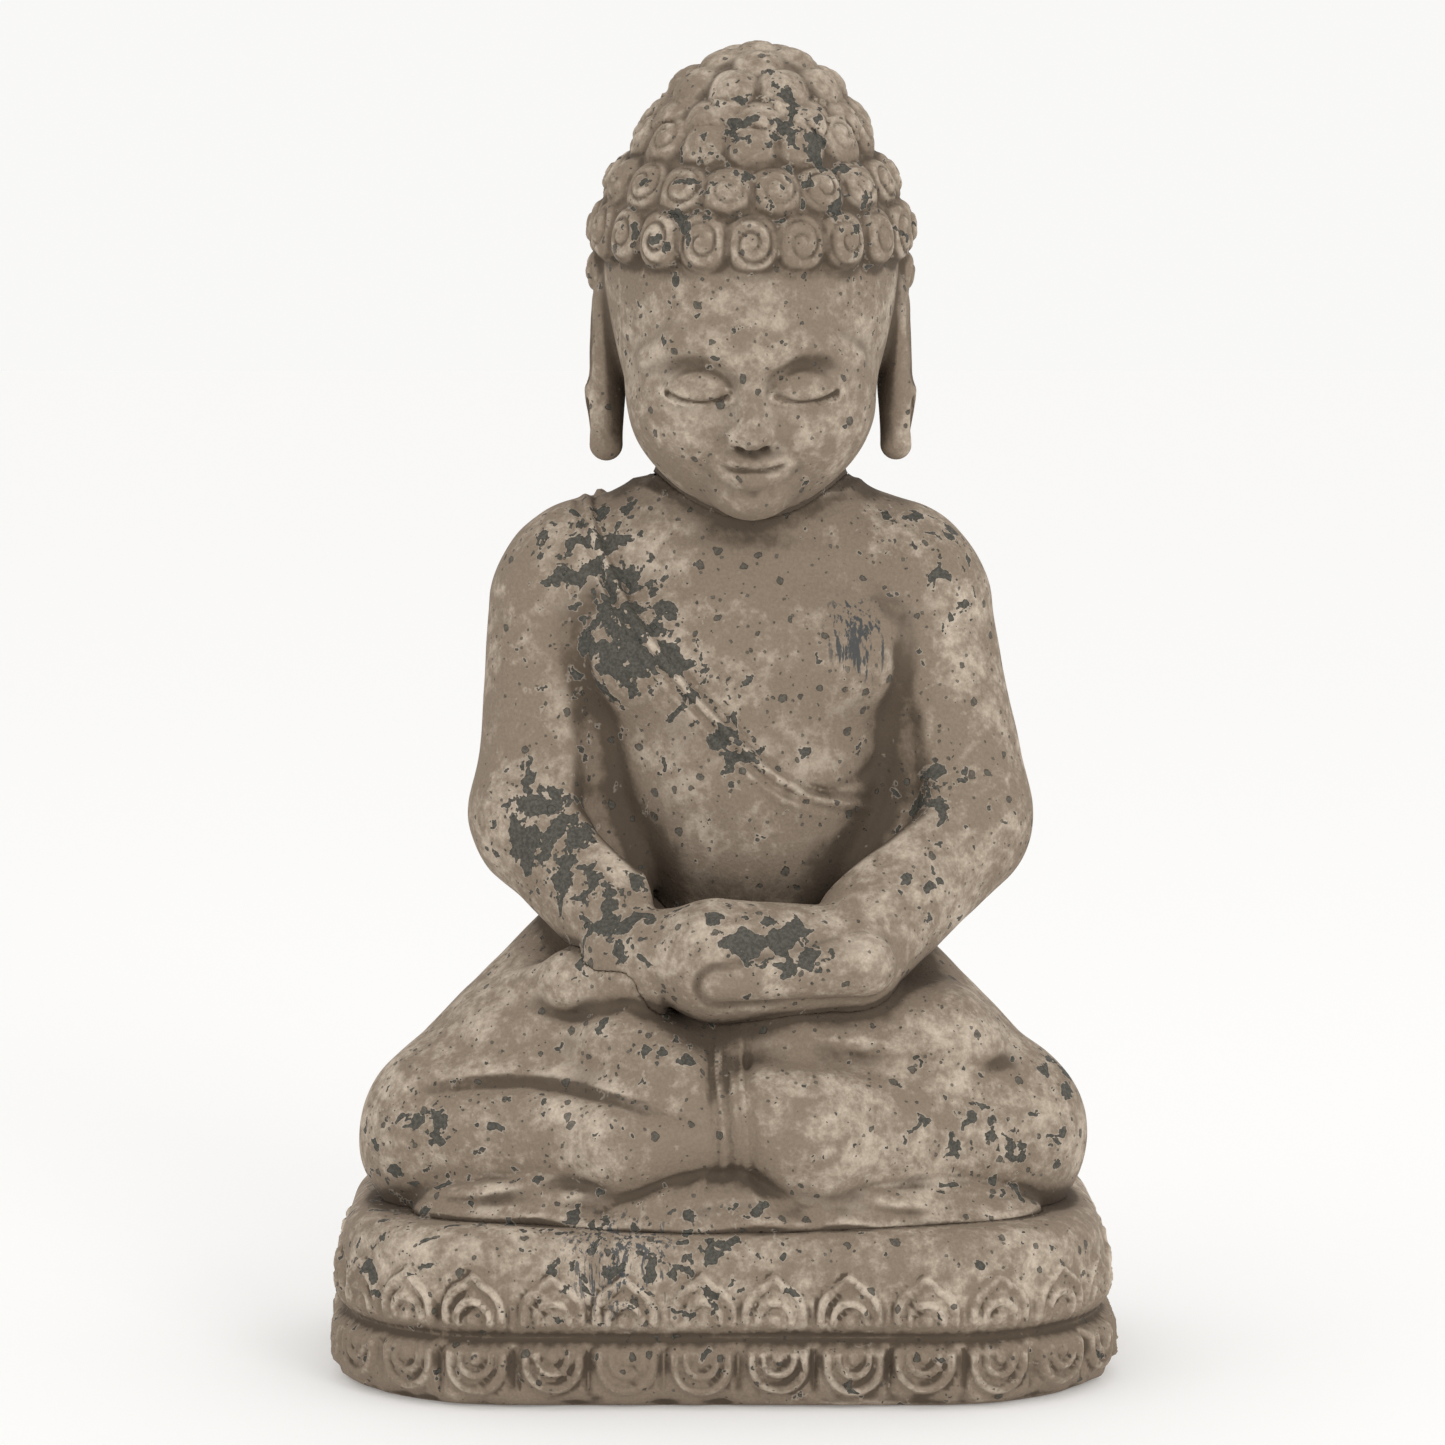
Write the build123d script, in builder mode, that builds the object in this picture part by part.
"""Seated buddha statue in hollow cast cement: plinth, lap, torso and head castings, pinned and bedded in mortar.

Millimetres, +Z up, the figure faces -Y. The origin is the middle of the footprint, on the floor.
"""

import os

from build123d import *

# Driving dimensions
base_width = 346
base_depth = 246
base_corner = 80
wall = 16
bed = 2
lean = 13  # the upper body sits this far to the figure's left of the plinth's centre line

# Levels above the floor
tier_seam = 33
plinth_top = 76
lap_seat = plinth_top + bed
waist_level = 152
neck_level = 392

# Plinth
tier_inset = 4
foot_round = 8
seam_round = 4
seam_edge = 0.6
top_round = 15
petal_count = 32
petal_gap = 1.2
petal_proud = 2.4
petal_root = 8
petal_lift = 1.5
petal_shoulder = 0.55  # shares of a petal's height and half width, where its sides turn in to the tip
petal_bend = (0.62, 0.88)
lower_petal_tall = 22
upper_petal_tall = 27

# Limbs of the figure's left side: the point and radius at each end
thigh = ((46, 16, 166), 50), ((118, -24, 112), 46)
shin = ((120, -30, 114), 44), ((24, -80, 112), 33)
collar = ((20, 26, 368), 33), ((72, 27, 344), 35)
upper_arm = ((76, 26, 342), 35), ((93, 6, 252), 33)
forearm = ((92, 3, 244), 32), ((38, -64, 188), 22)

# Single masses, given whole
hips = ((32, 44, 138), 58), ((-32, 44, 138), 57)
hands = ((lean - 16, -75, 189), 27), ((lean + 40, -66, 190), 25)
heel = ((-46, -68, 158), 20), ((-22, -84, 130), 24)
hem_centre, hem_half_width, hem_half_depth, hem_tall = (0, -50), 130, 66, 16
hem_slope = 12

# Torso: height, half width, half depth and centre y of each level section
torso_sections = [
    (waist_level, 64, 58, 26),
    (200, 62, 54, 24),
    (262, 74, 56, 22),
    (318, 92, 58, 23),
    (356, 84, 52, 26),
    (380, 56, 44, 24),
    (neck_level, 45, 40, 20),
]
cavity_top = 345

# Lap under the robe, as the torso's sections
lap_sections = [(lap_seat, 142, 84, 4), (120, 138, 84, 4), (160, 112, 74, 8), (198, 76, 54, 18)]

# Head
skull = (lean, 8, 480), (72, 80, 84)
face = (lean, -16, 448), (55, 58, 57)  # 110 mm wide, two thirds of a 165 mm head
topknot = (lean + 2, 14, 555), (47, 46, 45)
ear_x, ear_middle, ear_size = 67, (14, 449), (9, 17, 42)
neck_stub = (22, 36)
head_cavity = (lean, 8, 494), (54, 62, 58)

# Reinforcement
bar_radius = 5
boss_radius = 14
seat_bar_x, seat_bar_y = 84, 8
waist_bar_x, waist_bar_y = 36, 26
seat_bar_bottom, seat_bar_top = plinth_top - 24, lap_seat + 34
waist_bar_bottom, waist_bar_top = waist_level - 36, waist_level + 44
neck_bar_bottom, neck_bar_top = neck_level - 38, neck_level + 34
boss_cover = 6

# Mortar under the lap: centre, then half width and half depth
seat_bed = (0, 4), (136, 78)

# Cavities: height, half width, half depth, centre y
lap_cavity = [(lap_seat, 112, 64, 0), (104, 104, 58, 0), (waist_level - 22, 62, 44, 14)]


def tapered_limb(start, start_radius, end, end_radius):
    """Two balls joined by the cone that touches both, as one solid of revolution."""
    axis = Vector(*end) - Vector(*start)
    length = axis.length
    sine = (start_radius - end_radius) / length
    cosine = (1 - sine * sine) ** 0.5
    slant = 0.5**0.5  # halfway round each ball
    with BuildPart() as limb:
        with BuildSketch(Plane.XZ):
            with BuildLine():
                ThreePointArc(
                    (0, -start_radius),
                    (start_radius * slant, -start_radius * slant),
                    (start_radius * cosine, start_radius * sine),
                )
                Line(
                    (start_radius * cosine, start_radius * sine),
                    (end_radius * cosine, length + end_radius * sine),
                )
                ThreePointArc(
                    (end_radius * cosine, length + end_radius * sine),
                    (end_radius * slant, length + end_radius * slant),
                    (0, length + end_radius),
                )
                Line((0, length + end_radius), (0, -start_radius))
            make_face()
        revolve(axis=Axis.Z)
    return Plane(origin=start, z_dir=axis).location * limb.part


def limb_pair(limb, centre_x):
    """A limb and its mirror image, either side of a centre line."""
    (start, start_radius), (end, end_radius) = limb
    limbs = []
    for side in (-1, 1):
        points = [(centre_x + side * x, y, z) for x, y, z in (start, end)]
        limbs.append(tapered_limb(points[0], start_radius, points[1], end_radius))
    return limbs


def mass(ends):
    """A single limb from its two ends."""
    (start, start_radius), (end, end_radius) = ends
    return tapered_limb(start, start_radius, end, end_radius)


def ellipsoid(centre, half_lengths):
    """A ball stretched to three half-lengths."""
    with BuildPart() as ball:
        Sphere(1)
    return Pos(*centre) * scale(ball.part, by=half_lengths)


def ring_loft(sections, centre_x, inset=0.0):
    """A loft through level ellipses."""
    with BuildPart() as body:
        for height, half_width, half_depth, centre_y in sections:
            with BuildSketch(Plane((centre_x, centre_y, height))):
                Ellipse(half_width - inset, half_depth - inset)
        loft()
    return body.part


def uprights(centres, bottom, top, radius):
    """Round bars or bores standing on end."""
    with BuildPart() as bars:
        with BuildSketch(Plane.XY.offset(bottom)):
            with Locations(*centres):
                Circle(radius)
        extrude(amount=top - bottom)
    return bars.part


def tier(inset, bottom, top, bottom_fillet, top_fillet):
    """One tier of the plinth: a rounded slab with soft edges."""
    with BuildPart() as slab:
        with BuildSketch(Plane.XY.offset(bottom)):
            RectangleRounded(base_width - 2 * inset, base_depth - 2 * inset, base_corner - inset)
        extrude(amount=top - bottom)
        fillet(slab.faces().sort_by(Axis.Z)[0].edges(), bottom_fillet)
        fillet(slab.faces().sort_by(Axis.Z)[-1].edges(), top_fillet)
    return slab.part


def petal_planes(inset, height):
    """Upright planes spaced round a tier, each set into the wall and facing out at a petal's middle."""
    with BuildSketch(Plane.XY.offset(height)) as outline:
        RectangleRounded(base_width - 2 * inset, base_depth - 2 * inset, base_corner - inset)
    edge = outline.sketch.faces()[0].outer_wire()
    planes = []
    for index in range(petal_count):
        middle = edge.position_at(index / petal_count)
        along = edge.tangent_at(index / petal_count)
        outwards = along.cross(Vector(0, 0, 1))
        planes.append(Plane(origin=middle - outwards * petal_root, x_dir=along, z_dir=outwards))
    return planes, edge.length / petal_count


def petal_ring(inset, foot, tall, side):
    """The lotus petals of one tier: arched pads that point up where side is 1 and down where it is -1."""
    planes, pitch = petal_planes(inset, foot)
    half = pitch / 2 - petal_gap
    tip = side * tall
    shoulder = tip * petal_shoulder
    bend_x, bend_y = half * petal_bend[0], tip * petal_bend[1]
    with BuildPart() as ring:
        with BuildSketch(*planes):
            with BuildLine():
                Line((-half, 0), (-half, shoulder))
                ThreePointArc((-half, shoulder), (-bend_x, bend_y), (0, tip))
                ThreePointArc((0, tip), (bend_x, bend_y), (half, shoulder))
                Line((half, shoulder), (half, 0))
                Line((half, 0), (-half, 0))
            make_face()
        extrude(amount=petal_root + petal_proud)
    return ring.part


def write(part, name):
    """Labels one finished piece and writes it to its own file."""
    part.label = name
    export_step(part, f"parts/{name}.step")


os.makedirs("parts", exist_ok=True)

seat_bars = [(side * seat_bar_x, seat_bar_y) for side in (-1, 1)]
waist_bars = [(lean + side * waist_bar_x, waist_bar_y) for side in (-1, 1)]
neck_bar = [(lean, torso_sections[-1][3])]
head_seat = neck_level + bed

# Plinth: two tiers of petals, hollow and open underneath, with a boss round each seat bar
plinth_shapes = [
    tier(0, 0, tier_seam, foot_round, seam_round),
    tier(tier_inset, tier_seam - 1, plinth_top, seam_edge, top_round),
    petal_ring(0, tier_seam - petal_lift, lower_petal_tall, -1),
    petal_ring(tier_inset, tier_seam + petal_lift, upper_petal_tall, 1),
]
plinth_bosses = uprights(seat_bars, seat_bar_bottom - boss_cover, plinth_top - 1, boss_radius)
plinth_bores = uprights(seat_bars, seat_bar_bottom, plinth_top, bar_radius)
with BuildPart() as plinth_casting:
    for shape in plinth_shapes:
        add(shape)
    with BuildSketch():
        RectangleRounded(
            base_width - 2 * (wall + tier_inset),
            base_depth - 2 * (wall + tier_inset),
            base_corner - wall - tier_inset,
        )
    extrude(amount=plinth_top - wall, mode=Mode.SUBTRACT)
    add(plinth_bosses)
    add(plinth_bores, mode=Mode.SUBTRACT)
write(plinth_casting.part, "plinth_casting")

# The torso is shaped before the lap, because the lap casting is cut to seat it
torso_shapes = [ring_loft(torso_sections, lean), mass(hands)]
for limb in (collar, upper_arm, forearm):
    torso_shapes += limb_pair(limb, lean)
with BuildPart() as torso_shape:
    for shape in torso_shapes:
        add(shape)
    split(bisect_by=Plane.XY.offset(neck_level), keep=Keep.BOTTOM)

# Lap: crossed legs and the fanned hem of the robe, hollow, with bosses for both sets of bars
lap_shapes = [ring_loft(lap_sections, 0), mass(hips), mass(heel)]
lap_shapes += limb_pair(thigh, 0) + limb_pair(shin, 0)
lap_hollow = ring_loft(lap_cavity, 0)
lap_bosses = [
    uprights(seat_bars, lap_seat, seat_bar_top + boss_cover, boss_radius),
    uprights(waist_bars, waist_bar_bottom - boss_cover, waist_level - bed, boss_radius),
]
lap_bores = [
    uprights(seat_bars, lap_seat, seat_bar_top, bar_radius),
    uprights(waist_bars, waist_bar_bottom, waist_level, bar_radius),
]
with BuildPart() as lap_casting:
    for shape in lap_shapes:
        add(shape)
    with BuildSketch(Plane((*hem_centre, lap_seat))):
        Ellipse(hem_half_width, hem_half_depth)
    extrude(amount=hem_tall, taper=hem_slope)
    split(bisect_by=Plane.XY.offset(lap_seat), keep=Keep.TOP)
    add(lap_hollow, mode=Mode.SUBTRACT)
    for boss in lap_bosses:
        add(boss)
    add(torso_shape.part, mode=Mode.SUBTRACT)
    with BuildSketch(Plane((lean, torso_sections[0][3], waist_level - bed))):
        Ellipse(torso_sections[0][1], torso_sections[0][2])
    extrude(amount=bed, mode=Mode.SUBTRACT)
    for bore in lap_bores:
        add(bore, mode=Mode.SUBTRACT)
write(lap_casting.part, "lap_casting")

# Torso: chest, arms and folded hands, hollow from the waist to below the neck
torso_hollow = ring_loft([s for s in torso_sections if s[0] < cavity_top], lean, wall)
torso_bosses = uprights(waist_bars, waist_level, waist_bar_top + boss_cover, boss_radius)
torso_bores = [
    uprights(waist_bars, waist_level, waist_bar_top, bar_radius),
    uprights(neck_bar, neck_bar_bottom, neck_level, bar_radius),
]
with BuildPart() as torso_casting:
    add(torso_shape.part)
    add(torso_hollow, mode=Mode.SUBTRACT)
    add(torso_bosses)
    for bore in torso_bores:
        add(bore, mode=Mode.SUBTRACT)
write(torso_casting.part, "torso_casting")

# Head: skull, face, long ears and topknot, with a void inside
stub_y, stub_radius = neck_stub
head_shapes = [ellipsoid(*shape) for shape in (skull, face, topknot)]
head_shapes += [ellipsoid((lean + side * ear_x, *ear_middle), ear_size) for side in (-1, 1)]
head_shapes += [uprights([(lean, stub_y)], head_seat, head_seat + 3 * wall, stub_radius)]
head_hollow = ellipsoid(*head_cavity)
head_bed = uprights([(lean, stub_y)], neck_level, head_seat, stub_radius)
head_bore = uprights(neck_bar, neck_level, neck_bar_top, bar_radius)
with BuildPart() as head_casting:
    for shape in head_shapes:
        add(shape)
    add(head_hollow, mode=Mode.SUBTRACT)
    add(torso_shape.part, mode=Mode.SUBTRACT)
    add(head_bed, mode=Mode.SUBTRACT)
    add(head_bore, mode=Mode.SUBTRACT)
write(head_casting.part, "head_casting")

# Mortar beds: one under each casting that stands on another, each with holes for its bars
bed_plans = {
    "seat_mortar": (*seat_bed, plinth_top, seat_bars),
    "waist_mortar": ((lean, torso_sections[0][3]), torso_sections[0][1:3], waist_level - bed, waist_bars),
    "neck_mortar": ((lean, stub_y), (stub_radius, stub_radius), neck_level, neck_bar),
}
for name, (centre, half_lengths, bottom, bars) in bed_plans.items():
    with BuildPart() as mortar:
        with BuildSketch(Plane((*centre, bottom))):
            Ellipse(*half_lengths)
        extrude(amount=bed)
        with BuildSketch(Plane.XY.offset(bottom)):
            with Locations(*bars):
                Circle(bar_radius)
        extrude(amount=bed, mode=Mode.SUBTRACT)
    write(mortar.part, name)

# Steel bars across the joints
write(uprights(seat_bars, seat_bar_bottom, seat_bar_top, bar_radius), "seat_bars")
write(uprights(waist_bars, waist_bar_bottom, waist_bar_top, bar_radius), "waist_bars")
write(uprights(neck_bar, neck_bar_bottom, neck_bar_top, bar_radius), "neck_bar")
